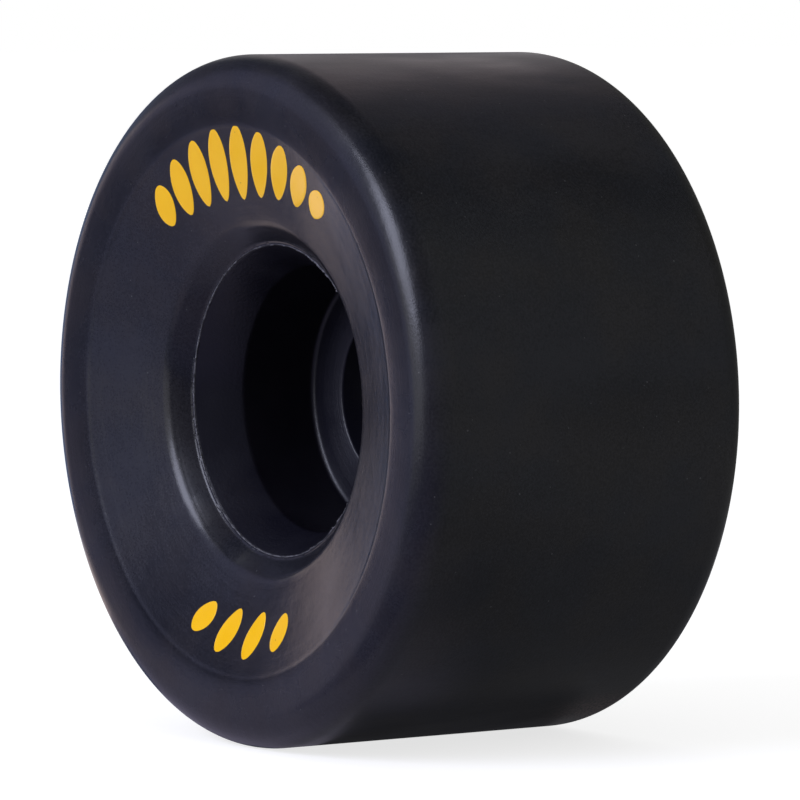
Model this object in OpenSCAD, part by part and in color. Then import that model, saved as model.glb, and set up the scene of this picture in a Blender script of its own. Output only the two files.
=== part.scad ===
// Roller skate wheel: a cast tyre on a moulded hub core, with a ball bearing in the truck-side seat.
// The axle runs along Y. The dished nut side faces -Y, and the truck side faces +Y.
// The origin is on the axle, halfway across the tyre. Lengths are in millimetres.

/* [Tyre] */
// Outside diameter of the tread
tyre_d = 57; // [54:0.5:70]
// Width over the two lips
tyre_w = 32; // [30:0.1:40]
// Rounding between the tread and the lip
corner_r = 2.7; // [1.5:0.1:4]
// Width of the lip, from the tread in to the crease
lip_w = 5.5; // [4.5:0.1:6.5]
// Radius of the slightly crowned lip
lip_crown_r = 16; // [10:0.5:40]
// Radial width of the flank that leads from the dish down to the core, at the nut-side mouth
flank_w = 1.8; // [1.2:0.1:2.5]
// Slope of that flank, from square to the axle
flank_slope = 42; // [38:1:48]
// Rounding between the dish and the flank
mouth_round_r = 1.5; // [0.5:0.1:2.5]
// Rounding of the truck-side face down to the core's rim
back_round_r = 0.25; // [0.1:0.05:0.3]

/* [Hub core] */
// Depth of the nut-side bearing seat below the lip
nut_recess = 8.6; // [7:0.1:11]
// Depth of the truck-side bearing's face below the lip
truck_recess = 0.4; // [0.2:0.1:2]
// Length of the flared lead-in to the nut-side seat
lead_in = 3.85; // [2.5:0.05:4.5]
// Flare of the lead-in, from the axle
lead_in_angle = 25.4; // [15:0.1:28]
// Diameter of the hole through the web
web_hole_d = 14; // [12.5:0.1:16]
// Width of the flat ledge that stops a bearing's outer ring
ledge_w = 1.3; // [0.9:0.1:1.6]
// Depth of the relief inside the ledge
relief_depth = 0.22; // [0.1:0.01:0.4]
// Fillet in the corner of a bearing seat
seat_fillet = 0.3; // [0.15:0.05:0.4]
// How far the truck-side bearing stands out of the core's rim
bearing_proud = 0.45; // [0.3:0.05:0.6]
// Width of the chamfer that leads into the truck-side seat
back_chamfer = 0.6; // [0.3:0.1:1]
// Width of the core's rim that shows round the truck-side seat
back_rim_w = 0.8; // [0.4:0.1:1]
// Wall of the core round a bearing seat
hub_wall = 2.8; // [2.4:0.1:3.2]

/* [Core anchors in the tyre] */
// Diameter of the middle flange
flange_d = 36; // [34:0.5:38]
// Thickness of the middle flange
flange_t = 3; // [2:0.1:4]
// Diameter of the two end collars
collar_d = 32; // [30:0.5:34]
// Thickness of an end collar
collar_t = 2; // [1.5:0.1:2.5]
// How far each collar lies from the middle flange
collar_gap = 5; // [4:0.1:5.5]
// Number of holes that the tyre flows through in the flange
anchor_count = 8; // [6:1:12]
// Diameter of an anchor hole
anchor_d = 2.6; // [2:0.1:3]

/* [Ball bearing] */
// Outside diameter of the bearing
bearing_d = 22; // [21:0.5:24]
// Width of the bearing
bearing_w = 7; // [6.8:0.1:8]
// Bore of the inner ring, for the axle
bore_d = 8; // [7:0.1:8.5]
// Number of balls
ball_count = 7; // [6:1:7]
// Diameter of a ball
ball_d = 3.969; // [3.9:0.001:4]
// Running gap between a ball and each raceway
race_gap = 0.012; // [0.008:0.002:0.03]
// Raceway radius as a multiple of the ball's radius
race_conformity = 1.04; // [1.03:0.01:1.06]
// Depth of the raceways below the rings' shoulders
race_depth = 0.5; // [0.4:0.05:0.55]
// Chamfer on the rings' outer corners
ring_chamfer = 0.3; // [0.2:0.05:0.4]

/* [Ball cage] */
// Gap between the cage and each ring's shoulder
cage_gap = 0.45; // [0.35:0.05:0.55]
// Thickness of the cage's back behind the balls
cage_wall = 0.22; // [0.15:0.01:0.25]
// Reach of the cage's prongs in front of the balls' centres
cage_front = 1.2; // [0.9:0.05:1.4]
// Gap between a ball and its pocket
pocket_gap = 0.08; // [0.05:0.01:0.12]
// Width of the slot between two prongs
prong_slot = 1; // [0.6:0.1:1.4]

/* [Shields and clips] */
// Depth of a shield's seat below the bearing's face
shield_inset = 1.05; // [1:0.05:1.1]
// Thickness of a shield
shield_t = 0.3; // [0.2:0.05:0.3]
// Gap between a shield and the inner ring
shield_gap = 0.2; // [0.1:0.05:0.3]
// Step from the outer ring's shoulder up to the shield seat
shield_step = 0.6; // [0.5:0.05:0.7]
// Radial thickness of a clip
clip_w = 0.55; // [0.45:0.05:0.65]
// Thickness of a clip
clip_t = 0.35; // [0.3:0.05:0.4]
// Depth of the groove that a clip springs into
clip_groove = 0.3; // [0.2:0.05:0.35]
// Clearance of a shield and a clip in their seats
seat_gap = 0.04; // [0.02:0.01:0.08]
// Opening of a clip, in degrees round the ring
clip_opening = 16; // [10:1:30]

/* [Hidden] */
$fn = 96;
arc_steps = 16;
overcut = 1;

tread_r = tyre_d / 2;
lip_y = tyre_w / 2;
crest_r = tread_r - corner_r;
crease_r = tread_r - lip_w;
lip_sweep = asin((crest_r - crease_r) / lip_crown_r);
crease_y = lip_y - lip_crown_r * (1 - cos(lip_sweep));

seat_r = bearing_d / 2;
nut_seat_y = nut_recess - lip_y;
nut_shoulder_y = nut_seat_y + bearing_w;
truck_shoulder_y = lip_y - truck_recess - bearing_w;
bearing_y = truck_shoulder_y + bearing_w / 2;
mouth_y = nut_seat_y - lead_in;
mouth_r = seat_r + lead_in * tan(lead_in_angle);
core_end_y = truck_shoulder_y + bearing_w - bearing_proud;
hub_r = seat_r + hub_wall;
bond_r = (mouth_r + hub_r) / 2;
ledge_r = seat_r - seat_fillet - ledge_w;
back_edge_r = seat_r + back_chamfer + back_rim_w;
flange_y = (mouth_y + core_end_y) / 2;
anchor_pitch_r = (hub_r + flange_d / 2) / 2;

// Where the flank meets the dish, the slope of the dish from there to the crease, and their rounding
bend = [mouth_r + flank_w, mouth_y - flank_w * tan(flank_slope)];
dish_slope = atan2(bend.y + crease_y, crease_r - bend.x);
bend_slope = (flank_slope + dish_slope) / 2;
bend_depth = mouth_round_r / cos((flank_slope - dish_slope) / 2);
mouth_centre = bend + bend_depth * [sin(bend_slope), cos(bend_slope)];

ball_r = ball_d / 2;
pitch_r = (bearing_d + bore_d) / 4;
race_r = ball_r * race_conformity;
outer_race_r = pitch_r + ball_r + race_gap;
inner_race_r = pitch_r - ball_r - race_gap;
outer_shoulder_r = outer_race_r - race_depth;
inner_shoulder_r = inner_race_r + race_depth;
shield_seat_r = outer_shoulder_r + shield_step;
shield_z = bearing_w / 2 - shield_inset;
clip_z = shield_z + shield_t;
clip_groove_r = shield_seat_r + clip_groove;
shield_bore_r = inner_shoulder_r + shield_gap;

ball_names = [for (i = [1:ball_count]) str("ball_", i)];

// Points of an arc about c from angle a to angle b
function arc(c, r, a, b) =
    [for (i = [0:arc_steps]) let (t = a + (b - a) * i / arc_steps) c + r * [cos(t), sin(t)]];

// The same outline points seen from the other side, in reverse order
function mirrored(points) = [for (i = [len(points) - 1:-1:0]) [points[i].x, -points[i].y]];

// Turns a profile of radius and axial place about the axle
module revolve() {
    rotate([-90, 0, 0])
        rotate_extrude()
            children();
}

// Moves to the middle of the bearing
module at_bearing() {
    translate([0, bearing_y, 0])
        children();
}

// Tread corner and lip, from the tread in to the crease on the nut side
function lip_points() = concat(
    arc([crest_r, corner_r - lip_y], corner_r, 0, -90),
    arc([crest_r, lip_crown_r - lip_y], lip_crown_r, -90, -90 - lip_sweep)
);

module tyre_profile() {
    polygon(concat(
        lip_points(),
        arc(mouth_centre, mouth_round_r, -90 - dish_slope, -90 - flank_slope),
        [[mouth_r, mouth_y], [bond_r, mouth_y], [bond_r, core_end_y]],
        arc([back_edge_r + back_round_r, core_end_y], back_round_r, 180, 90),
        mirrored(lip_points())
    ));
}

module core_profile() {
    polygon([
        [mouth_r, mouth_y],
        [seat_r, nut_seat_y],
        [seat_r, nut_shoulder_y - seat_fillet],
        [seat_r - seat_fillet, nut_shoulder_y],
        [ledge_r, nut_shoulder_y],
        [web_hole_d / 2, nut_shoulder_y + relief_depth],
        [web_hole_d / 2, truck_shoulder_y - relief_depth],
        [ledge_r, truck_shoulder_y],
        [seat_r - seat_fillet, truck_shoulder_y],
        [seat_r, truck_shoulder_y + seat_fillet],
        [seat_r, core_end_y - back_chamfer],
        [seat_r + back_chamfer, core_end_y],
        [hub_r, core_end_y],
        [hub_r, mouth_y]
    ]);
}

// A flat ring on the outside of the core, centred at y
module core_ring(d, t, y) {
    translate([0, y, 0])
        rotate([-90, 0, 0])
            difference() {
                cylinder(d = d, h = t, center = true);
                cylinder(r = bond_r, h = t + overcut, center = true);
            }
}

module anchor_holes() {
    for (i = [0:anchor_count - 1])
        rotate([0, i * 360 / anchor_count, 0])
            translate([anchor_pitch_r, flange_y - flange_t / 2 - overcut, 0])
                rotate([-90, 0, 0])
                    cylinder(d = anchor_d, h = flange_t + 2 * overcut);
}

module core_body() {
    collar_y = flange_t / 2 + collar_gap + collar_t / 2;
    difference() {
        union() {
            revolve()
                core_profile();
            core_ring(flange_d, flange_t, flange_y);
            for (side = [-1, 1])
                core_ring(collar_d, collar_t, flange_y + side * collar_y);
        }
        anchor_holes();
    }
}

module tyre() {
    color("#2a2b33")
        difference() {
            revolve()
                tyre_profile();
            core_body();
        }
}

module hub_core() {
    color("#1c1c1f")
        core_body();
}

// Half outlines run from the raceway side out to the ring's own corner
function outer_ring_half() = [
    [outer_shoulder_r, shield_z],
    [shield_seat_r, shield_z],
    [shield_seat_r, clip_z],
    [clip_groove_r, clip_z],
    [clip_groove_r, clip_z + clip_t + seat_gap],
    [shield_seat_r, clip_z + clip_t + seat_gap],
    [shield_seat_r, bearing_w / 2],
    [seat_r - ring_chamfer, bearing_w / 2],
    [seat_r, bearing_w / 2 - ring_chamfer]
];

function inner_ring_half() = [
    [inner_shoulder_r, bearing_w / 2 - ring_chamfer],
    [inner_shoulder_r - ring_chamfer, bearing_w / 2],
    [bore_d / 2 + ring_chamfer, bearing_w / 2],
    [bore_d / 2, bearing_w / 2 - ring_chamfer]
];

// A bearing ring: its outline turned about the axle, less the raceway
module bearing_ring(half, race_centre_r) {
    at_bearing()
        revolve()
            difference() {
                polygon(concat(half, mirrored(half)));
                translate([race_centre_r, 0])
                    circle(race_r);
            }
}

module bearing_outer_ring() {
    color("#c9ccd1")
        bearing_ring(outer_ring_half(), outer_race_r - race_r);
}

module bearing_inner_ring() {
    color("#c9ccd1")
        bearing_ring(inner_ring_half(), inner_race_r + race_r);
}

// Places a child at ball number i, counted from zero
module at_ball(i) {
    rotate([0, i * 360 / ball_count, 0])
        translate([pitch_r, 0, 0])
            children();
}

module ball(i) {
    color("#dfe2e6")
        at_bearing()
            at_ball(i)
                sphere(ball_r);
}

// Crown cage: a back ring towards the web, with pockets that the balls snap into from the truck side
module ball_cage() {
    inner_r = inner_shoulder_r + cage_gap;
    outer_r = outer_shoulder_r - cage_gap;
    cage_back = ball_r + cage_wall;
    slot_length = outer_r - inner_r + 2 * overcut;
    color("#8a5a2b")
        at_bearing()
            difference() {
                revolve()
                    translate([inner_r, -cage_back])
                        square([outer_r - inner_r, cage_back + cage_front]);
                for (i = [0:ball_count - 1])
                    at_ball(i)
                        rotate([0, 90, 0])
                            cylinder(r = ball_r + pocket_gap, h = slot_length, center = true);
                for (i = [0:ball_count - 1])
                    at_ball(i + 1 / 2)
                        translate([-slot_length / 2, 0, -prong_slot / 2])
                            cube([slot_length, cage_front + overcut, prong_slot]);
            }
}

// Pressed shield: flat at its seat, set out at the inner ring. side is 1 for truck, -1 for web
module shield(side) {
    rim_r = shield_seat_r - seat_gap;
    bend_r = outer_shoulder_r - clip_w;
    color("#b4b8be")
        at_bearing()
            rotate([0, 0, side > 0 ? 0 : 180])
                revolve()
                    polygon([
                        [shield_bore_r, shield_z + shield_t],
                        [bend_r - shield_t, shield_z + shield_t],
                        [bend_r, shield_z],
                        [rim_r, shield_z],
                        [rim_r, shield_z + shield_t],
                        [bend_r + shield_t / 2, shield_z + shield_t],
                        [bend_r - shield_t / 2, shield_z + 2 * shield_t],
                        [shield_bore_r, shield_z + 2 * shield_t]
                    ]);
}

// Spring clip, a flat open ring that holds a shield in its seat
module clip(side) {
    clip_r = clip_groove_r - seat_gap;
    color("#8f949b")
        at_bearing()
            rotate([0, 0, side > 0 ? 0 : 180])
                difference() {
                    revolve()
                        translate([clip_r - clip_w, clip_z])
                            square([clip_w, clip_t]);
                    rotate([-90, 0, 0])
                        linear_extrude(bearing_w)
                            polygon([
                                [0, 0],
                                2 * clip_r * [cos(clip_opening / 2), sin(clip_opening / 2)],
                                2 * clip_r * [cos(clip_opening / 2), -sin(clip_opening / 2)]
                            ]);
                }
}

tyre();
hub_core();
bearing_outer_ring();
bearing_inner_ring();
ball_cage();
for (i = [0:ball_count - 1]) ball(i);
shield(1);  // truck_side_shield
shield(-1);  // web_side_shield
clip(1);  // truck_side_clip
clip(-1);  // web_side_clip
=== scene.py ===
"""Looks of the roller skate wheel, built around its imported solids.

New skins take the place of the tyre, the core, the two bearing rings and the truck-side shield. The
other solids stay as they are and get new materials. Lengths are written in millimetres and go into the
meshes in metres. The axle runs along Y, the dished nut side faces -Y, the truck side faces +Y and +Z
is up.
"""
import math

import bpy
import numpy as np
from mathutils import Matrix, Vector


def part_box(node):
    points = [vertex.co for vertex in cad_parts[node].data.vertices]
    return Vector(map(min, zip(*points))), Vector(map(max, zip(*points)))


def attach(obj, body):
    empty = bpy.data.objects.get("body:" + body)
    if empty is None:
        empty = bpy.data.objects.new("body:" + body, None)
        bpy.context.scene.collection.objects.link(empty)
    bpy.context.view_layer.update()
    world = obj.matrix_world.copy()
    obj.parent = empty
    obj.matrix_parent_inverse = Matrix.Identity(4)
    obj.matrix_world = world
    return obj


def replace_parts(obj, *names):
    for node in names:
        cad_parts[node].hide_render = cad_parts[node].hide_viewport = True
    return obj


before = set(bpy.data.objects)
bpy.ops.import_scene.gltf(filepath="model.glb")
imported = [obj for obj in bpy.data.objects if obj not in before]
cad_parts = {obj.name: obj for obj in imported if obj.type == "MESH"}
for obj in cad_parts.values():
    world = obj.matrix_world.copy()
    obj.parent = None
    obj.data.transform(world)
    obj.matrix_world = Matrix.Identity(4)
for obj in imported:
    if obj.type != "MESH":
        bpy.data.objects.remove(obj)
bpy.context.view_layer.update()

MM = 0.001
SEED = 11

# Tyre, in millimetres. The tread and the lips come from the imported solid.
TREAD_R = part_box("tyre")[1][0] / MM
LIP_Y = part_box("tyre")[1][1] / MM
CORNER_R = 2.7
LIP_W = 5.5
LIP_CROWN_R = 16.0
MOUTH_R = 12.828
MOUTH_Y = -11.25
FLANK_W = 1.8
BACK_EDGE_R = 12.4
BACK_ROUND_R = 0.25

# Mouth, with slopes in degrees. MOUTH_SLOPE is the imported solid's and says where the bend lies. The
# other slopes are the skin's, at the end of the bend, along the bowed flank and at the curled rim.
MOUTH_SLOPE = 42.0
BEND_SLOPE = 43.5
FLANK_SLOPE = 46.0
RIM_SLOPE = -4.0
FLANK_BOW = 0.02
MOUTH_ROUND_R = 1.9

# Places on the lip and the dish that follow from these sizes
CREST_R = TREAD_R - CORNER_R
CREASE_R = TREAD_R - LIP_W
LIP_SWEEP = math.degrees(math.asin((CREST_R - CREASE_R) / LIP_CROWN_R))
CREASE_Y = LIP_Y - LIP_CROWN_R * (1 - math.cos(math.radians(LIP_SWEEP)))
BEND_R = MOUTH_R + FLANK_W
BEND_Y = MOUTH_Y - FLANK_W * math.tan(math.radians(MOUTH_SLOPE))
DISH_SLOPE = math.degrees(math.atan2(BEND_Y + CREASE_Y, CREASE_R - BEND_R))

# Crease inside the lip: a small step on the dished side, steepest a share of the way along it, and a
# rounded edge on the truck side
STEP_W = 0.9
STEP_SLOPE = 22.5
STEP_PEAK = 0.4
BACK_CREASE_ROUND_R = 1.0

# Flash that the mould leaves along the mouth. Its height is a share of FLASH_H between 0 and 1:
# FLASH_MEAN where the noise is 0, and FLASH_SWING more where it is 1. NICK_WIDTHS are in radians.
FLASH_W = 0.14
FLASH_H = 0.15
FLASH_MEAN = 0.2
FLASH_SWING = 1.3
FLASH_LEAST_H = 0.01
FLASH_SINK = 0.02
FLASH_LEAN = 56.0
FLASH_NICKS = 60
NICK_WIDTHS = (0.010, 0.034)

# Painted reflection: a warm patch of the floor on the tread's truck-side edge, near the bottom
FLOOR_REFLECTION_PLACE = (11.3, 12.0, -26.2)
FLOOR_REFLECTION_REACH = 5.5

# Print on the dish
STROKE_LEAN = -0.34
STROKE_SWELL_POWER = 0.55
INK_H = 0.03
INK_EDGE_POWER = 0.35

# Hub core
SEAT_R = 11.0
SEAT_Y = -7.4
NUT_SHOULDER_Y = -0.4
TRUCK_SHOULDER_Y = 8.6
CORE_END_Y = 15.15
SEAT_FILLET = 0.3
LEDGE_R = 9.4
RELIEF = 0.22
WEB_HOLE_R = 7.0
HOLE_EDGE = 0.2
BACK_CHAMFER = 0.6
HUB_R = 13.8
FLANGE_R = 18.0
FLANGE_T = 3.0
COLLAR_R = 16.0
COLLAR_T = 2.0
COLLAR_OFFSET = 7.5
FLANGE_Y = (MOUTH_Y + CORE_END_Y) / 2

# Bearing, measured from its middle
BEARING_Y = 12.1
BEARING_HALF_W = 3.5
BORE_R = 4.0
RING_CHAMFER = 0.3
RACE_R = 2.064
OUTER_RACE_R = 9.4965
INNER_RACE_R = 5.5035
OUTER_SHOULDER_R = 8.9965
INNER_SHOULDER_R = 6.0035
SHIELD_SEAT_R = 9.5965
SHIELD_Z = 2.45
SHIELD_T = 0.3
SHIELD_BORE_R = 6.2035
SHIELD_BEND_R = 8.4465
CLIP_T = 0.35
CLIP_GROOVE_R = 9.8965
SNAP_PLAY = 0.04
RING_EDGE = 0.06
SHIELD_EDGE = 0.05

# Steps round the axle
TYRE_STEPS = 384
FLASH_STEPS = 1440
CORE_STEPS = 288
OUTER_RING_STEPS = 288
INNER_RING_STEPS = 216
SHIELD_STEPS = 288

# The photograph's camera, about the wheel's centre, and how far to the right and up of it the camera aims
CAMERA_AZIMUTH = 55.512
CAMERA_ELEVATION = 3.8545
CAMERA_DISTANCE = 518.95
CAMERA_LENS = 280.26
CAMERA_SENSOR_W = 36.0
AIM_RIGHT = 0.774
AIM_UP = -0.370

# Light, where 1 is white
FLOOR_GLOW = 0.74
ROOM_LIGHT = 0.6

# Cards that lie on the floor, above it and one over the other
CARD_LIFT = 0.3
CARD_STEP = 0.05


def arc(centre, radius, start, end, count):
    """Points on a circle about centre, from the angle start to the angle end, in degrees."""
    angle = np.radians(np.linspace(start, end, count))
    return np.stack([centre[0] + radius * np.cos(angle), centre[1] + radius * np.sin(angle)], -1)


def line(first, last, count):
    """Evenly spaced points between first and last, without the two ends."""
    share = np.linspace(0, 1, count + 2)[1:-1, None]
    return np.asarray(first) + share * (np.asarray(last) - np.asarray(first))


def mirrored(points):
    """The same profile on the other side of the middle plane, in reverse order."""
    return (points * np.array([1, -1]))[::-1]


def mesh_piece(name, grids, material, wrap_u=True):
    """A piece made of one or more grids of points, an array of shape (sheets, nu, nv, 3).

    Quads join neighbouring points. The last column joins the first, and so does the last row with
    wrap_u. If the closed volume comes out negative, the quads are turned round to face outwards.
    """
    sheets, nu, nv, _ = grids.shape
    points = grids.reshape(-1, 3) * MM
    u = np.arange(nu if wrap_u else nu - 1)
    s, a, b = np.meshgrid(np.arange(sheets), u, np.arange(nv), indexing="ij")
    next_a = (a + 1) % nu
    next_b = (b + 1) % nv
    corners = [(a, b), (next_a, b), (next_a, next_b), (a, next_b)]
    quads = np.stack([(s * nu + i) * nv + j for i, j in corners], -1).reshape(-1, 4)
    p = points[quads]
    volume = np.einsum("ij,ij->i", p[:, 0], np.cross(p[:, 1], p[:, 2]) + np.cross(p[:, 2], p[:, 3])).sum()
    if volume < 0:
        quads = quads[:, ::-1]
    mesh = bpy.data.meshes.new(name)
    mesh.from_pydata(points.tolist(), [], quads.tolist())
    mesh.shade_smooth()
    mesh.materials.append(material)
    piece = bpy.data.objects.new(name, mesh)
    bpy.context.scene.collection.objects.link(piece)
    return piece


def turned(profile, count):
    """Grid of a closed profile of (radius, axial place) carried round the axle in count steps.

    The profile may also be an array of one profile per step, where it changes round the axle.
    """
    angle = np.linspace(0, 2 * np.pi, count, endpoint=False)[:, None]
    radius = np.broadcast_to(profile[..., 0], (count, profile.shape[-2]))
    axial = np.broadcast_to(profile[..., 1], (count, profile.shape[-2]))
    return np.stack([radius * np.cos(angle), axial, radius * np.sin(angle)], -1)[None]


def softened(points, size):
    """A closed profile whose corners are cut back by size, or by a third of a shorter edge."""
    before = np.roll(points, 1, axis=0) - points
    after = np.roll(points, -1, axis=0) - points
    cut = [np.minimum(size / np.linalg.norm(e, axis=1), 1 / 3)[:, None] * e for e in (before, after)]
    middle = points + (cut[0] + cut[1]) / 4
    return np.stack([points + cut[0], middle, points + cut[1]], 1).reshape(-1, 2)


def round_noise(angle, waves, falloff, rng):
    """Sum of cosines round the axle, with random phases and heights, scaled to stay within 1.

    The heights fall off with a power of the wave number.
    """
    number = np.arange(1, waves + 1)
    phase = rng.uniform(0, 2 * np.pi, waves)
    height = rng.normal(size=waves) * number ** -falloff
    total = (height * np.cos(angle[:, None] * number + phase)).sum(1)
    return total / np.abs(total).max()


def dish_y(radius):
    """Axial place of the dish at a radius: a straight slope from the crease inwards."""
    return -CREASE_Y + (CREASE_R - radius) * math.tan(math.radians(DISH_SLOPE))


def inward(slope):
    """Unit step from a point of the dished side into the tyre, square to a slope in degrees."""
    return np.array([math.sin(math.radians(slope)), math.cos(math.radians(slope))])


def rounded(corner, radius, first_slope, last_slope, count):
    """Arc that rounds a corner of the dished side, between two slopes in degrees."""
    depth = radius / math.cos(math.radians(last_slope - first_slope) / 2)
    centre = corner + depth * inward((first_slope + last_slope) / 2)
    return arc(centre, radius, -90 - first_slope, -90 - last_slope, count)


def curl(start, end, first_slope, last_slope, count):
    """Arc that eases from a line of the dished side into another slope and stops at end.

    The line leaves start at first_slope, in degrees. The chord of the arc leans halfway between
    the two slopes, so the arc begins where the line meets that chord drawn back from end.
    """
    run = [np.array([-math.cos(math.radians(a)), math.sin(math.radians(a))])
           for a in (first_slope, (first_slope + last_slope) / 2)]
    _, chord = np.linalg.solve(np.stack(run, -1), np.subtract(end, start))
    turn = first_slope - last_slope
    radius = chord / (2 * math.sin(math.radians(turn) / 2))
    centre = np.asarray(end) - radius * inward(last_slope)
    return arc(centre, radius, 90 - first_slope, 90 - last_slope, count)


def bowed(first, last, height, slope, count):
    """Points between first and last that bow outwards as a parabola, without the two ends.

    The bow is highest halfway, and square to a slope in degrees.
    """
    share = np.linspace(0, 1, count + 2)[1:-1, None]
    return line(first, last, count) - height * 4 * share * (1 - share) * inward(slope)


def crease_step(count):
    """Points of the small step inside the lip, whose slope rises to a peak and falls to the dish's.

    Each point lies one short, equally long stride from the one before, along the slope there.
    """
    slopes = [LIP_SWEEP, STEP_SLOPE, DISH_SLOPE]
    slope = np.radians(np.interp(np.linspace(0, 1, count), [0, STEP_PEAK, 1], slopes))
    stride = STEP_W / count * np.stack([-np.cos(slope), np.sin(slope)], -1)
    return np.array([CREASE_R, -CREASE_Y]) + np.cumsum(stride, axis=0)


def core_outside():
    """Profile of the core's outside: a drum with a middle flange and two collars.

    It runs from the truck side to the nut side.
    """
    rings = [
        (FLANGE_Y + COLLAR_OFFSET, COLLAR_T, COLLAR_R),
        (FLANGE_Y, FLANGE_T, FLANGE_R),
        (FLANGE_Y - COLLAR_OFFSET, COLLAR_T, COLLAR_R),
    ]
    points = [(HUB_R, CORE_END_Y)]
    for y, thickness, radius in rings:
        points += [(HUB_R, y + thickness / 2), (radius, y + thickness / 2)]
        points += [(radius, y - thickness / 2), (HUB_R, y - thickness / 2)]
    return np.array(points + [(HUB_R, MOUTH_Y)])


def tyre_profile():
    """Closed profile of the tyre.

    It starts at the tread's corner on the dished side, and goes over the lip, the crease, the dish and
    the mouth, along the core, over the truck-side face and its lip, and back along the tread.
    """
    corner = arc((CREST_R, CORNER_R - LIP_Y), CORNER_R, 0, -90, 24)
    crown = arc((CREST_R, LIP_CROWN_R - LIP_Y), LIP_CROWN_R, -90, -90 - LIP_SWEEP, 16)
    crease = crease_step(12)
    back_crease = rounded((CREASE_R, -CREASE_Y), BACK_CREASE_ROUND_R, LIP_SWEEP, DISH_SLOPE, 7)
    bend = rounded((BEND_R, BEND_Y), MOUTH_ROUND_R, DISH_SLOPE, BEND_SLOPE, 20)
    rim = curl((BEND_R, BEND_Y), (MOUTH_R, MOUTH_Y), FLANK_SLOPE, RIM_SLOPE, 14)
    flank = bowed(bend[-1], rim[0], FLANK_BOW, FLANK_SLOPE, 12)
    back_round = arc((BACK_EDGE_R + BACK_ROUND_R, CORE_END_Y), BACK_ROUND_R, 180, 90, 7)
    lip = np.concatenate([corner, crown[1:-1]])
    back_lip = mirrored(np.concatenate([lip, back_crease]))
    return np.concatenate([
        lip,
        crease,
        line(crease[-1], bend[0], 20),
        bend,
        flank,
        rim,
        core_outside()[::-1],
        back_round,
        line(back_round[-1], back_lip[0], 16),
        back_lip,
        line(back_lip[-1], corner[0], 18),
    ])


def flash_profiles(count, rng):
    """Thin bead of flash along the mouth's edge, one profile per step round the axle.

    Each is half an ellipse on the edge, closed by a root inside the tyre. Its height follows noise
    round the axle, and falls away at the nicks.
    """
    angle = np.linspace(0, 2 * np.pi, count, endpoint=False)
    ragged = 0.5 * round_noise(angle, 70, 0.4, rng) + 0.5 * round_noise(angle, 330, 0.05, rng)
    nick_at = rng.uniform(0, 2 * np.pi, FLASH_NICKS)
    nick_width = rng.uniform(*NICK_WIDTHS, FLASH_NICKS)
    off = np.abs((angle[:, None] - nick_at + np.pi) % (2 * np.pi) - np.pi)
    whole = (1 - np.exp(-(off / nick_width) ** 4)).prod(1)
    share = np.clip(FLASH_MEAN + FLASH_SWING * ragged, 0, 1)
    height = (FLASH_H * share * whole + FLASH_LEAST_H)[:, None, None]
    out = -inward(FLASH_LEAN)
    downhill = np.array([out[1], -out[0]])
    around = np.linspace(0, np.pi, 7)[:, None]
    rim = np.array([MOUTH_R, MOUTH_Y])
    lift = height * np.sin(around) - FLASH_SINK
    bead = rim + FLASH_W / 2 * np.cos(around) * downhill + lift * out
    root = np.broadcast_to(rim - FLASH_W * out, (count, 1, 2))
    return np.concatenate([bead, root], 1)


def core_profile():
    """Closed profile of the core: flared lead-in, seats, ledges and web hole inside, drum outside."""
    inside = np.array([
        (MOUTH_R, MOUTH_Y),
        (SEAT_R, SEAT_Y),
        (SEAT_R, NUT_SHOULDER_Y - SEAT_FILLET),
        (SEAT_R - SEAT_FILLET, NUT_SHOULDER_Y),
        (LEDGE_R, NUT_SHOULDER_Y),
        (WEB_HOLE_R, NUT_SHOULDER_Y + RELIEF),
        (WEB_HOLE_R, TRUCK_SHOULDER_Y - RELIEF),
        (LEDGE_R, TRUCK_SHOULDER_Y),
        (SEAT_R - SEAT_FILLET, TRUCK_SHOULDER_Y),
        (SEAT_R, TRUCK_SHOULDER_Y + SEAT_FILLET),
        (SEAT_R, CORE_END_Y - BACK_CHAMFER),
        (SEAT_R + BACK_CHAMFER, CORE_END_Y),
    ])
    return softened(np.concatenate([inside, core_outside()]), HOLE_EDGE)


def outer_ring_profile():
    """Closed profile of the bearing's outer ring, with the raceway, shield seats and clip grooves."""
    clip_z = SHIELD_Z + SHIELD_T
    half = np.array([
        (OUTER_SHOULDER_R, SHIELD_Z),
        (SHIELD_SEAT_R, SHIELD_Z),
        (SHIELD_SEAT_R, clip_z),
        (CLIP_GROOVE_R, clip_z),
        (CLIP_GROOVE_R, clip_z + CLIP_T + SNAP_PLAY),
        (SHIELD_SEAT_R, clip_z + CLIP_T + SNAP_PLAY),
        (SHIELD_SEAT_R, BEARING_HALF_W),
        (SEAT_R - RING_CHAMFER, BEARING_HALF_W),
        (SEAT_R, BEARING_HALF_W - RING_CHAMFER),
    ])
    reach = math.degrees(math.acos((OUTER_SHOULDER_R - OUTER_RACE_R + RACE_R) / RACE_R))
    race = arc((OUTER_RACE_R - RACE_R, 0), RACE_R, -reach, reach, 15)
    return np.concatenate([race, softened(np.concatenate([half, mirrored(half)]), RING_EDGE)])


def inner_ring_profile():
    """Closed profile of the bearing's inner ring, with its raceway and chamfered bore."""
    half = np.array([
        (INNER_SHOULDER_R, BEARING_HALF_W - RING_CHAMFER),
        (INNER_SHOULDER_R - RING_CHAMFER, BEARING_HALF_W),
        (BORE_R + RING_CHAMFER, BEARING_HALF_W),
        (BORE_R, BEARING_HALF_W - RING_CHAMFER),
    ])
    reach = math.degrees(math.acos((INNER_RACE_R + RACE_R - INNER_SHOULDER_R) / RACE_R))
    race = arc((INNER_RACE_R + RACE_R, 0), RACE_R, 180 + reach, 180 - reach, 15)
    return np.concatenate([race, softened(np.concatenate([half, mirrored(half)]), RING_EDGE)])


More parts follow.
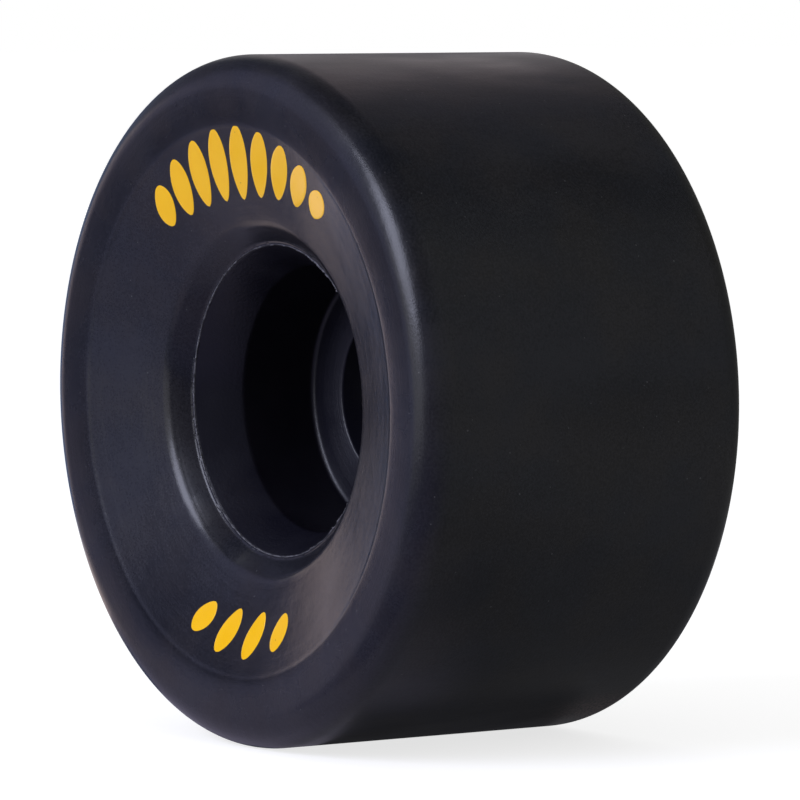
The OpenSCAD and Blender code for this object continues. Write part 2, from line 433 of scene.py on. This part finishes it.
def shield_profile():
    """Closed profile of a pressed shield: flat at its seat, bent out towards the inner ring."""
    return softened(np.array([
        (SHIELD_BORE_R, SHIELD_Z + SHIELD_T),
        (SHIELD_BEND_R - SHIELD_T, SHIELD_Z + SHIELD_T),
        (SHIELD_BEND_R, SHIELD_Z),
        (SHIELD_SEAT_R - SNAP_PLAY, SHIELD_Z),
        (SHIELD_SEAT_R - SNAP_PLAY, SHIELD_Z + SHIELD_T),
        (SHIELD_BEND_R + SHIELD_T / 2, SHIELD_Z + SHIELD_T),
        (SHIELD_BEND_R - SHIELD_T / 2, SHIELD_Z + 2 * SHIELD_T),
        (SHIELD_BORE_R, SHIELD_Z + 2 * SHIELD_T),
    ]), SHIELD_EDGE)


def at_bearing(profile):
    """A profile measured from the bearing's middle, moved to its place on the axle."""
    return profile + np.array([0, BEARING_Y])


def printed_strokes(middle_angle, spread, heights, middle_r, width):
    """A fan of leaning leaf-shaped strokes printed on the dish, one for each height.

    The strokes stand at even steps of angle. Along a stroke the radius runs over its height while
    the stroke leans sideways. Its width swells as a sine raised to a power, and closes to a point
    at both ends. Across it the ink is a thin pad, half sunk in the dish.
    """
    steps, sides = 41, 24
    place = np.radians(middle_angle + np.linspace(spread / 2, -spread / 2, len(heights)))[:, None, None]
    along = np.linspace(0, 1, steps)[None, :, None]
    around = np.linspace(0, 2 * np.pi, sides, endpoint=False)[None, None, :]
    swell = np.sin(np.pi * along).clip(0) ** STROKE_SWELL_POWER
    swell[:, [0, -1]] = 0
    up = (along - 0.5) * np.asarray(heights)[:, None, None]
    sideways = STROKE_LEAN * up + width / 2 * swell * np.cos(around)
    angle = place + sideways / middle_r
    radius = np.broadcast_to(middle_r + up, angle.shape)
    pad = np.sign(np.sin(around)) * np.abs(np.sin(around)) ** INK_EDGE_POWER
    y = dish_y(radius) - INK_H * pad * np.minimum(1, 4 * swell)
    return np.stack([radius * np.cos(angle), y, radius * np.sin(angle)], -1)


def feed(tree, socket, value):
    """Links an input to another socket, or sets it to a plain value."""
    if isinstance(value, bpy.types.NodeSocket):
        tree.links.new(value, socket)
    else:
        socket.default_value = value


def add(tree, kind, sockets=None, **settings):
    """Adds a node, sets its properties, and sets or links its inputs by name or number."""
    made = tree.nodes.new(kind)
    for key, value in settings.items():
        setattr(made, key, value)
    for key, value in (sockets or {}).items():
        feed(tree, made.inputs[key], value)
    return made


def math_node(tree, operation, *values):
    """Output of a Math node on one, two or three values or sockets."""
    return add(tree, "ShaderNodeMath", dict(enumerate(values)), operation=operation).outputs[0]


def ramp(tree, value, low, high, first=0.0, last=1.0):
    """Value mapped smoothly from the span low to high onto first to last."""
    sockets = {"Value": value, "From Min": low, "From Max": high, "To Min": first, "To Max": last}
    return add(tree, "ShaderNodeMapRange", sockets, interpolation_type="SMOOTHSTEP").outputs[0]


def mix_colour(tree, share, first, second):
    """First colour where share is 0, second where it is 1."""
    node = add(tree, "ShaderNodeMix", {"Factor": share}, data_type="RGBA")
    for index, colour in ((6, first), (7, second)):
        feed(tree, node.inputs[index], (*colour, 1) if isinstance(colour, tuple) else colour)
    return node.outputs[2]


def group(name, inputs, outputs):
    """A new node group, its inputs and its outputs. All are floats but Position, which is a vector."""
    tree = bpy.data.node_groups.new(name, "ShaderNodeTree")
    for socket in inputs:
        kind = "NodeSocketVector" if socket == "Position" else "NodeSocketFloat"
        tree.interface.new_socket(socket, in_out="INPUT", socket_type=kind)
    for socket in outputs:
        tree.interface.new_socket(socket, in_out="OUTPUT", socket_type="NodeSocketFloat")
    return tree, tree.nodes.new("NodeGroupInput").outputs, tree.nodes.new("NodeGroupOutput").inputs


def axle_places():
    """Group: distance from the axle and place along it, in millimetres."""
    tree, given, result = group("axle_places", ["Position"], ["Radius", "Axial"])
    xyz = add(tree, "ShaderNodeSeparateXYZ", {0: given["Position"]}).outputs
    square = math_node(tree, "MULTIPLY_ADD", xyz[2], xyz[2], math_node(tree, "MULTIPLY", xyz[0], xyz[0]))
    radius = math_node(tree, "MULTIPLY", math_node(tree, "SQRT", square), 1 / MM)
    tree.links.new(radius, result["Radius"])
    tree.links.new(math_node(tree, "MULTIPLY", xyz[1], 1 / MM), result["Axial"])
    return tree


def fine_grain():
    """Group: even moulded grain and slower cloudy patches, both from 0 to 1."""
    tree, given, result = group("fine_grain", ["Position", "Grain_per_metre", "Patches_per_metre"],
                                ["Grain", "Patches"])
    for wanted, scale, detail in (("Grain", "Grain_per_metre", 3.0), ("Patches", "Patches_per_metre", 4.0)):
        noise = add(tree, "ShaderNodeTexNoise",
                    {"Vector": given["Position"], "Scale": given[scale], "Detail": detail})
        tree.links.new(noise.outputs[0], result[wanted])
    return tree


def dust_specks():
    """Group: mask of small sparse dots, one in some of the cells of a random lattice."""
    tree, given, result = group("dust_specks", ["Position", "Cells_per_metre", "Size", "Share"], ["Mask"])
    cells = add(tree, "ShaderNodeTexVoronoi",
                {"Vector": given["Position"], "Scale": given["Cells_per_metre"], "Randomness": 1.0})
    tone = add(tree, "ShaderNodeSeparateColor", {0: cells.outputs["Color"]}).outputs
    size = math_node(tree, "MULTIPLY", given["Size"], math_node(tree, "ADD", tone[1], 0.35))
    near = math_node(tree, "LESS_THAN", cells.outputs["Distance"], size)
    picked = math_node(tree, "LESS_THAN", tone[0], given["Share"])
    tree.links.new(math_node(tree, "MULTIPLY", near, picked), result["Mask"])
    return tree


def ring_marks():
    """Group: fine uneven lines from noise along one measure, so that they run round the axle."""
    tree, given, result = group("ring_marks", ["Measure", "Lines_per_mm"], ["Lines"])
    along = math_node(tree, "MULTIPLY", given["Measure"], given["Lines_per_mm"])
    noise = add(tree, "ShaderNodeTexNoise", {"W": along, "Scale": 1.0, "Detail": 4.0, "Roughness": 0.65},
                noise_dimensions="1D")
    tree.links.new(noise.outputs[0], result["Lines"])
    return tree


GROUPS = {make.__name__: make() for make in (axle_places, fine_grain, dust_specks, ring_marks)}


def use(tree, name, **sockets):
    """Outputs of a placed group, with its inputs set or linked."""
    node = tree.nodes.new("ShaderNodeGroup")
    node.node_tree = GROUPS[name]
    for key, value in sockets.items():
        feed(tree, node.inputs[key], value)
    return node.outputs


def new_material(name):
    """An empty material: its tree, its Principled shader and its Object coordinates."""
    material = bpy.data.materials.new(name)
    material.use_nodes = True
    tree = material.node_tree
    tree.nodes.clear()
    shader = tree.nodes.new("ShaderNodeBsdfPrincipled")
    add(tree, "ShaderNodeOutputMaterial", {"Surface": shader.outputs[0]})
    position = tree.nodes.new("ShaderNodeTexCoord").outputs["Object"]
    return material, tree, shader, position


def bump(tree, height, distance, strength, normal=None):
    """Normal from a height, where distance is the relief in metres, on top of an earlier normal."""
    sockets = {"Height": height, "Distance": distance, "Strength": strength}
    if normal is not None:
        sockets["Normal"] = normal
    return add(tree, "ShaderNodeBump", sockets).outputs[0]


def urethane_colour(tree, position, grain, smudges, tread):
    """Near-black that drifts between a cool and a warm tint, on the moulded skin and on the ground tread.

    A painted warm reflection of the floor, broken up by the grain, lies over the tread's truck-side edge
    near the bottom, and specks of dust lie over all of it.
    """
    tone = math_node(tree, "ADD", grain["Grain"], smudges["Patches"])
    tone = ramp(tree, tone, 0.72, 1.28)
    tint = ramp(tree, grain["Patches"], 0.35, 0.65)
    cool_skin = mix_colour(tree, tone, (0.0062, 0.0068, 0.0108), (0.0150, 0.0155, 0.0214))
    warm_skin = mix_colour(tree, tone, (0.0076, 0.0070, 0.0096), (0.0168, 0.0160, 0.0200))
    cool_ground = mix_colour(tree, tone, (0.0028, 0.0037, 0.0060), (0.0112, 0.0126, 0.0164))
    warm_ground = mix_colour(tree, tone, (0.0048, 0.0045, 0.0050), (0.0152, 0.0147, 0.0158))
    skin = mix_colour(tree, tint, cool_skin, warm_skin)
    ground = mix_colour(tree, tint, cool_ground, warm_ground)
    colour = mix_colour(tree, tread, skin, ground)
    # Painted reflection: the next mix paints a warm patch of the floor onto the tread's truck-side edge,
    # broken up by the grain
    off_floor_reflection = add(tree, "ShaderNodeVectorMath", {0: position, 1: np.array(FLOOR_REFLECTION_PLACE) * MM},
                    operation="DISTANCE").outputs["Value"]
    floor_reflection = math_node(tree, "MULTIPLY", ramp(tree, off_floor_reflection, FLOOR_REFLECTION_REACH * MM, 0.0),
                      ramp(tree, grain["Grain"], 0.38, 0.60))
    colour = mix_colour(tree, floor_reflection, colour, (0.130, 0.090, 0.084))
    specks = use(tree, "dust_specks", Position=position, Cells_per_metre=900.0, Size=0.05, Share=0.8)
    return mix_colour(tree, specks["Mask"], colour, (0.05, 0.05, 0.054))


def urethane_normal(tree, position, place, grain, smudges, tread):
    """Relief of the urethane: slow waves with faint rings, and finer forms on top of them.

    The finer forms are moulded grain, less of it inside the mouth, lines round the ground tread, small
    pits, and torn nicks along the mouth's rim.
    """
    rings = use(tree, "ring_marks", Measure=place["Radius"], Lines_per_mm=1.6)
    waves = math_node(tree, "MULTIPLY_ADD", rings["Lines"], 0.22, smudges["Grain"])
    wavy = bump(tree, waves, 0.00004, 1.0)
    across = use(tree, "ring_marks", Measure=place["Axial"], Lines_per_mm=3.0)
    ground_lines = math_node(tree, "MULTIPLY", tread, 0.3)
    dish = ramp(tree, place["Radius"], BEND_R + 0.1, BEND_R + 0.7)
    moulded = math_node(tree, "MULTIPLY", grain["Grain"], ramp(tree, dish, 0.0, 1.0, 0.15, 1.0))
    relief = math_node(tree, "MULTIPLY_ADD", across["Lines"], ground_lines, moulded)
    pits = use(tree, "dust_specks", Position=position, Cells_per_metre=410.0, Size=0.05, Share=0.12)
    relief = math_node(tree, "SUBTRACT", relief, pits["Mask"])
    rim = ramp(tree, place["Radius"], MOUTH_R + 0.05, MOUTH_R + 0.35, 1.0, 0.0)
    torn = use(tree, "fine_grain", Position=position, Grain_per_metre=1300.0, Patches_per_metre=300.0)
    nicks = math_node(tree, "MULTIPLY", rim, ramp(tree, torn["Grain"], 0.54, 0.60))
    relief = math_node(tree, "MULTIPLY_ADD", nicks, -6.0, relief)
    return bump(tree, relief, 0.00001, 1.0, wavy)


def urethane():
    """Cast black urethane: a glossy moulded skin, a little rougher on the lips, and a rough ground tread."""
    material, tree, shader, position = new_material("cast_urethane")
    place = use(tree, "axle_places", Position=position)
    tread = ramp(tree, place["Radius"], TREAD_R - 0.9, TREAD_R - 0.1)
    grain = use(tree, "fine_grain", Position=position, Grain_per_metre=5200.0, Patches_per_metre=190.0)
    drawn_out = add(tree, "ShaderNodeMapping", {"Vector": position, "Scale": (1.0, 0.4, 1.0)}).outputs[0]
    smudges = use(tree, "fine_grain", Position=drawn_out, Grain_per_metre=420.0, Patches_per_metre=110.0)
    colour = urethane_colour(tree, position, grain, smudges, tread)
    tree.links.new(colour, shader.inputs["Base Color"])

    lip = ramp(tree, place["Radius"], CREASE_R - 0.5, CREASE_R + 1.5)
    rough_skin = ramp(tree, grain["Patches"], 0.3, 0.7, 0.21, 0.26)
    rough_skin = math_node(tree, "MULTIPLY_ADD", lip, 0.05, rough_skin)
    rough_tread = ramp(tree, smudges["Patches"], 0.3, 0.7, 0.40, 0.54)
    rough = add(tree, "ShaderNodeMix", {"Factor": tread, 2: rough_skin, 3: rough_tread}).outputs[0]
    tree.links.new(rough, shader.inputs["Roughness"])

    normal = urethane_normal(tree, position, place, grain, smudges, tread)
    tree.links.new(normal, shader.inputs["Normal"])
    shader.inputs["Specular IOR Level"].default_value = 0.35
    return material


def torn_flash_highlight():
    """Torn edge of the flash: rougher than the skin, and paler, partly as torn urethane and partly as a
    painted highlight along the mouth's rim.
    """
    material, tree, shader, position = new_material("torn_flash_highlight")
    grain = use(tree, "fine_grain", Position=position, Grain_per_metre=5200.0, Patches_per_metre=1600.0)
    patches = ramp(tree, grain["Patches"], 0.4, 0.6)
    # Painted highlight in part: these pale tones make the thin flash read as a bright line along the rim
    colour = mix_colour(tree, patches, (0.035, 0.035, 0.04), (0.11, 0.11, 0.125))
    tree.links.new(colour, shader.inputs["Base Color"])
    tree.links.new(ramp(tree, grain["Grain"], 0.3, 0.7, 0.4, 0.6), shader.inputs["Roughness"])
    tree.links.new(bump(tree, grain["Grain"], 0.00002, 0.6), shader.inputs["Normal"])
    return material


def nylon():
    """Moulded core: matt near-black with an even grain, turning marks on the web, and painted shade on the
    seat walls.
    """
    material, tree, shader, position = new_material("moulded_nylon")
    place = use(tree, "axle_places", Position=position)
    grain = use(tree, "fine_grain", Position=position, Grain_per_metre=3800.0, Patches_per_metre=260.0)
    lines = use(tree, "ring_marks", Measure=place["Radius"], Lines_per_mm=2.6)
    specks = use(tree, "dust_specks", Position=position, Cells_per_metre=900.0, Size=0.05, Share=0.1)
    off_seat = math_node(tree, "ABSOLUTE", math_node(tree, "SUBTRACT", place["Radius"], SEAT_R))
    moulded = mix_colour(tree, grain["Patches"], (0.0046, 0.0045, 0.0092), (0.0070, 0.0068, 0.0120))
    # Painted shade: the seat walls deep in the bore get a darker colour, for the shade that falls there
    seat_shade = mix_colour(tree, grain["Patches"], (0.0022, 0.0018, 0.0042), (0.0034, 0.0028, 0.0056))
    colour = mix_colour(tree, ramp(tree, off_seat, 0.02, 0.15), seat_shade, moulded)
    colour = mix_colour(tree, specks["Mask"], colour, (0.03, 0.03, 0.03))
    tree.links.new(colour, shader.inputs["Base Color"])
    tree.links.new(ramp(tree, grain["Patches"], 0.3, 0.7, 0.31, 0.41), shader.inputs["Roughness"])
    web = ramp(tree, place["Radius"], LEDGE_R, SEAT_R - SEAT_FILLET, 1.1, 0.0)
    relief = math_node(tree, "MULTIPLY_ADD", lines["Lines"], web, grain["Grain"])
    tree.links.new(bump(tree, relief, 0.00003, 0.7), shader.inputs["Normal"])
    shader.inputs["Specular IOR Level"].default_value = 0.36
    return material


def ink():
    """Printed yellow ink: a thin film with slight mottling and a few pinholes."""
    material, tree, shader, position = new_material("yellow_ink")
    grain = use(tree, "fine_grain", Position=position, Grain_per_metre=5200.0, Patches_per_metre=700.0)
    holes = use(tree, "dust_specks", Position=position, Cells_per_metre=1500.0, Size=0.07, Share=0.1)
    colour = mix_colour(tree, grain["Patches"], (0.93, 0.49, 0.002), (0.98, 0.55, 0.005))
    colour = mix_colour(tree, holes["Mask"], colour, (0.35, 0.17, 0.01))
    tree.links.new(colour, shader.inputs["Base Color"])
    tree.links.new(ramp(tree, grain["Patches"], 0.3, 0.7, 0.14, 0.20), shader.inputs["Roughness"])
    tree.links.new(bump(tree, grain["Grain"], 0.000004, 0.6), shader.inputs["Normal"])
    shader.inputs["Specular IOR Level"].default_value = 0.4
    return material


def steel(name, dark, light, least_rough, most_rough):
    """Steel with fine lines round the axle in its tone, gloss and relief."""
    material, tree, shader, position = new_material(name)
    place = use(tree, "axle_places", Position=position)
    lines = use(tree, "ring_marks", Measure=place["Radius"], Lines_per_mm=9.0)
    grain = use(tree, "fine_grain", Position=position, Grain_per_metre=6000.0, Patches_per_metre=420.0)
    half_patches = math_node(tree, "MULTIPLY", grain["Patches"], 0.5)
    tone = math_node(tree, "MULTIPLY_ADD", lines["Lines"], 0.5, half_patches)
    colour = mix_colour(tree, ramp(tree, tone, 0.35, 0.65), dark, light)
    tree.links.new(colour, shader.inputs["Base Color"])
    tree.links.new(ramp(tree, tone, 0.35, 0.65, least_rough, most_rough), shader.inputs["Roughness"])
    tree.links.new(bump(tree, lines["Lines"], 0.000006, 0.5), shader.inputs["Normal"])
    shader.inputs["Metallic"].default_value = 1.0
    return material


def cage_nylon():
    """Tan moulded nylon of the ball cage."""
    material, tree, shader, position = new_material("cage_nylon")
    grain = use(tree, "fine_grain", Position=position, Grain_per_metre=4000.0, Patches_per_metre=500.0)
    colour = mix_colour(tree, grain["Patches"], (0.36, 0.20, 0.08), (0.46, 0.27, 0.12))
    tree.links.new(colour, shader.inputs["Base Color"])
    tree.links.new(ramp(tree, grain["Patches"], 0.3, 0.7, 0.4, 0.52), shader.inputs["Roughness"])
    tree.links.new(bump(tree, grain["Grain"], 0.00002, 0.5), shader.inputs["Normal"])
    return material


def seen_directly(tree):
    """1 for camera, glossy and transmission rays, 0 for the rays that light the object."""
    path = tree.nodes.new("ShaderNodeLightPath").outputs
    either = math_node(tree, "MAXIMUM", path["Is Camera Ray"], path["Is Glossy Ray"])
    return math_node(tree, "MAXIMUM", either, path["Is Transmission Ray"])


def floor_finish():
    """White floor: matt, so that it takes the shadow, with a glow for the rays that see it directly."""
    material, tree, shader, _ = new_material("white_floor")
    shader.inputs["Base Color"].default_value = (0.45, 0.45, 0.45, 1)
    shader.inputs["Roughness"].default_value = 0.9
    shader.inputs["Specular IOR Level"].default_value = 0.0
    shader.inputs["Emission Color"].default_value = (1, 1, 1, 1)
    glow = math_node(tree, "MULTIPLY", seen_directly(tree), FLOOR_GLOW)
    tree.links.new(glow, shader.inputs["Emission Strength"])
    return material


def flat(name, corners, material):
    """A flat four-cornered sheet of the stage."""
    mesh = bpy.data.meshes.new(name)
    mesh.from_pydata((np.array(corners) * MM).tolist(), [], [(0, 1, 2, 3)])
    mesh.materials.append(material)
    sheet = bpy.data.objects.new(name, mesh)
    bpy.context.scene.collection.objects.link(sheet)
    return sheet


def direction(azimuth, elevation):
    """Unit vector from the wheel towards an azimuth and elevation, where azimuth 0 is the nut side."""
    a, e = math.radians(azimuth), math.radians(elevation)
    return np.array([math.sin(a) * math.cos(e), -math.cos(a) * math.cos(e), math.sin(e)])


def look(thing, place, target):
    """Puts a lamp or the camera at a place, in millimetres, looking at a target."""
    thing.location = place * MM
    thing.rotation_euler = Vector(target - place).to_track_quat("-Z", "Y").to_euler()


def soft_light(name, azimuth, elevation, distance, size, watts, colour):
    """A square soft light that faces the wheel."""
    lamp = bpy.data.lights.new(name, "AREA")
    lamp.size = size * MM
    lamp.energy = watts
    lamp.color = colour
    light = bpy.data.objects.new(name, lamp)
    bpy.context.scene.collection.objects.link(light)
    look(light, direction(azimuth, elevation) * distance, np.zeros(3))


def leaning(azimuths, foot, head):
    """Corners of a sheet between two azimuths, whose foot and head are each a distance and a height."""
    first, last = (direction(a, 0)[:2] for a in azimuths)
    low = [(*first * foot[0], foot[1]), (*last * foot[0], foot[1])]
    return low + [(*last * head[0], head[1]), (*first * head[0], head[1])]


def lying(xs, ys, height):
    """Corners of a level sheet."""
    return [(xs[0], ys[0], height), (xs[1], ys[0], height), (xs[1], ys[1], height), (xs[0], ys[1], height)]


def card(name, corners, foot_colours, head_colours=None):
    """A card that glows in colours that blend between its corners, two at its foot and two at its head.

    The head has the foot's colours if it has none of its own. The card shows only in the wheel's
    gloss, where it takes the place of part of the white room.
    """
    material, tree, shader, _ = new_material(name)
    glow = add(tree, "ShaderNodeAttribute", attribute_name="glow").outputs["Color"]
    tree.links.new(glow, shader.inputs["Emission Color"])
    shader.inputs["Emission Strength"].default_value = 1.0
    shader.inputs["Base Color"].default_value = (0, 0, 0, 1)
    shader.inputs["Specular IOR Level"].default_value = 0.0
    sheet = flat(name, corners, material)
    colours = sheet.data.color_attributes.new("glow", "FLOAT_COLOR", "POINT").data
    for corner, colour in zip(colours, [*foot_colours, *reversed(head_colours or foot_colours)]):
        corner.color = (*colour, 1)
    sheet.visible_camera = False
    sheet.visible_diffuse = False
    sheet.visible_shadow = False


def cards():
    """The darker room that the black wheel mirrors.

    Lavender, mauve and tan cards stand and lie on the dished side, and one that turns tan hangs high
    behind. Dark ones are on the camera's side, overhead and behind. Grey ones are beside the tread and
    on the floor under it, and fade to painted shade near the wheel's foot, where a black card is a
    painted shadow of the wheel on the floor that its gloss shows.
    """
    floor = CARD_LIFT - TREAD_R
    first_layer = floor + CARD_STEP
    second_layer = floor + 2 * CARD_STEP
    bottom_layer = floor - 2 * CARD_STEP
    near_lavender = (0.53, 0.55, 0.87)
    dusk = (0.25, 0.23, 0.38)
    gloom = (0.06, 0.06, 0.10)
    mauve = (0.50, 0.45, 0.62)
    pale_mauve = (0.68, 0.66, 0.86)
    dull_mauve = (0.42, 0.39, 0.55)
    tan = (1.38, 1.12, 1.10)
    bright_tan = (1.75, 1.47, 1.52)
    pale_band = (0.20, 0.40, 0.88)
    night = (0.05, 0.08, 0.18)
    night_sky = (0.08, 0.08, 0.14)
    roof = (0.06, 0.06, 0.09)
    black = (0.03, 0.03, 0.04)
    shade = (0.09, 0.09, 0.10)
    dark = (0.10, 0.10, 0.13)
    wall = (0.11, 0.11, 0.14)
    back = (0.15, 0.15, 0.14)
    low_grey = (0.20, 0.20, 0.21)
    grey = (0.30, 0.30, 0.32)
    mid_grey = (0.40, 0.40, 0.42)
    pale = (0.60, 0.60, 0.61)
    card("left_card", leaning((-19, -70), (150, floor), (450, 420)), [near_lavender, dusk])
    card("gloom_card", leaning((-34, -63), (148, -12), (148, 22)), [gloom, gloom])
    card("tan_card", leaning((-70, -84), (152, floor), (430, 90)), [tan, tan])
    card("upper_card", leaning((-64, -110), (400, 88), (260, 330)), [dark, dark])
    card("tan_floor_card", lying((-104, -58), (-14, 6), second_layer), [tan, tan])
    card("mauve_floor_card", lying((-150, -104), (-14, 10), second_layer), [pale_mauve, pale_mauve])
    card("tan_edge_card", lying((-108, -58), (-75, -14), second_layer), [mauve, mauve], [tan, tan])
    card("band_card", leaning((-79.3, -108), (150, floor), (170, 70)), [pale_band, night], [low_grey, dark])
    card("night_card", leaning((-108, -130), (150, floor), (170, 70)), [night, night])
    card("front_card", leaning((18, 56), (170, floor), (400, 560)), [wall, roof])
    card("front_side_card", leaning((56, 95), (170, floor), (400, 560)), [wall, grey])
    card("flag_card", [(-4, -60, 26), (9, -60, 26), (9, -60, 58), (-4, -60, 58)], [dark, dark])
    card("header_card", leaning((-28, 28), (300, 285), (230, 440)), [dark, dark])
    card("side_card", leaning((95, 146), (170, floor), (400, 330)), [grey, low_grey], [pale, mid_grey])
    card("back_card", leaning((144, 222), (120, floor), (300, 330)), [back, back])
    card("sky_card", leaning((200, 246), (130, 200), (450, 200)), [night_sky, night_sky],
         [bright_tan, bright_tan])
    card("roof_card", lying((-230, 230), (-230, 230), 300), [roof, roof])
    card("outer_floor_card", lying((-200, 200), (-200, -6), bottom_layer), [night, night])
    card("near_floor_card", lying((-105, 120), (-105, -14), floor), [mauve, mauve], [dull_mauve, dull_mauve])
    card("front_floor_card", lying((-8, 120), (-105, -24), first_layer), [dusk, dusk])
    # Painted shadow: the next cards darken to shade and black under the wheel, for the wheel's shadow on the
    # floor that its gloss shows
    card("contact_card", lying((-22, 60), (-14, 0), floor), [dull_mauve, mid_grey], [shade, low_grey])
    card("contact_shadow_card", lying((-22, 14), (-11, 12), first_layer), [black, shade])
    card("under_card", lying((-22, 60), (0, 16), floor), [shade, low_grey], [shade, grey])
    card("far_floor_card", lying((-22, 60), (16, 100), floor), [shade, grey], [mid_grey, mid_grey])
    card("side_floor_card", lying((60, 200), (-14, 100), floor), [mid_grey, mid_grey])


def studio():
    """White room and floor, a soft key light above the dished side, and the cards."""
    scene = bpy.context.scene
    scene.view_settings.view_transform = "Standard"
    world = bpy.data.worlds.new("white_room")
    scene.world = world
    world.use_nodes = True
    tree = world.node_tree
    background = next(n for n in tree.nodes if n.type == "BACKGROUND")
    background.inputs["Color"].default_value = (1, 1, 1, 1)
    tree.links.new(ramp(tree, seen_directly(tree), 0.0, 1.0, ROOM_LIGHT, 1.0), background.inputs["Strength"])
    reach = 4000.0
    corners = [(-reach, -reach), (reach, -reach), (reach, reach), (-reach, reach)]
    flat("floor", [(x, y, -TREAD_R) for x, y in corners], floor_finish())
    cards()
    soft_light("key", azimuth=-2, elevation=28, distance=700, size=390, watts=3.8, colour=(0.74, 0.77, 1.0))


def camera():
    """The photograph's camera: a long lens a little above the wheel's middle."""
    lens = bpy.data.cameras.new("camera")
    lens.lens = CAMERA_LENS
    lens.sensor_width = CAMERA_SENSOR_W
    eye = bpy.data.objects.new("camera", lens)
    bpy.context.scene.collection.objects.link(eye)
    back = direction(CAMERA_AZIMUTH, CAMERA_ELEVATION)
    right = direction(CAMERA_AZIMUTH + 90, 0)
    look(eye, back * CAMERA_DISTANCE, right * AIM_RIGHT + np.cross(back, right) * AIM_UP)
    bpy.context.scene.camera = eye


rng = np.random.default_rng(SEED)
urethane_skin = urethane()
core_finish = nylon()
print_ink = ink()
ring_steel = steel("turned_ring_steel", (0.46, 0.46, 0.47), (0.62, 0.62, 0.63), 0.2, 0.32)
ball_steel = steel("ball_steel", (0.60, 0.60, 0.61), (0.68, 0.68, 0.69), 0.06, 0.1)
shield_steel = steel("pressed_shield_steel", (0.38, 0.38, 0.39), (0.52, 0.52, 0.53), 0.26, 0.38)
clip_steel = steel("spring_clip_steel", (0.36, 0.36, 0.37), (0.48, 0.48, 0.5), 0.24, 0.34)
cage_finish = cage_nylon()

tyre_skin = mesh_piece("tyre_skin", turned(tyre_profile(), TYRE_STEPS), urethane_skin)
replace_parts(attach(tyre_skin, "wheel"), "tyre")

flash_grid = turned(flash_profiles(FLASH_STEPS, rng), FLASH_STEPS)
mouth_flash = mesh_piece("mouth_flash", flash_grid, torn_flash_highlight())
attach(mouth_flash, "wheel")

core_skin = mesh_piece("core_skin", turned(core_profile(), CORE_STEPS), core_finish)
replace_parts(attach(core_skin, "wheel"), "hub_core")

upper_heights = [3.2, 4.4, 5.2, 5.8, 6.2, 5.8, 5.2, 4.4, 3.2]
lower_heights = [3.0, 3.9, 3.9, 3.0]
upper_strokes = printed_strokes(middle_angle=92, spread=70, heights=upper_heights, middle_r=19.7, width=2.5)
lower_strokes = printed_strokes(middle_angle=-92, spread=34, heights=lower_heights, middle_r=19.2, width=2.3)
for name, strokes in (("upper_print", upper_strokes), ("lower_print", lower_strokes)):
    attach(mesh_piece(name, strokes, print_ink, wrap_u=False), "wheel")

outer_ring_grid = turned(at_bearing(outer_ring_profile()), OUTER_RING_STEPS)
outer_ring = mesh_piece("outer_ring_turned", outer_ring_grid, ring_steel)
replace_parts(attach(outer_ring, "wheel"), "bearing_outer_ring")

inner_ring_grid = turned(at_bearing(inner_ring_profile()), INNER_RING_STEPS)
inner_ring = mesh_piece("inner_ring_turned", inner_ring_grid, ring_steel)
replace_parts(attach(inner_ring, "axle_ring"), "bearing_inner_ring")

shield_grid = turned(at_bearing(shield_profile()), SHIELD_STEPS)
truck_shield = mesh_piece("truck_shield_pressed", shield_grid, shield_steel)
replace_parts(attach(truck_shield, "wheel"), "truck_side_shield")

finishes = {
    "ball_cage": cage_finish,
    "web_side_shield": shield_steel,
    "truck_side_clip": clip_steel,
    "web_side_clip": clip_steel,
    **{f"ball_{i}": ball_steel for i in range(1, 8)},
}
for node, finish in finishes.items():
    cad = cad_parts[node].data
    cad.materials.clear()
    cad.materials.append(finish)

studio()
camera()
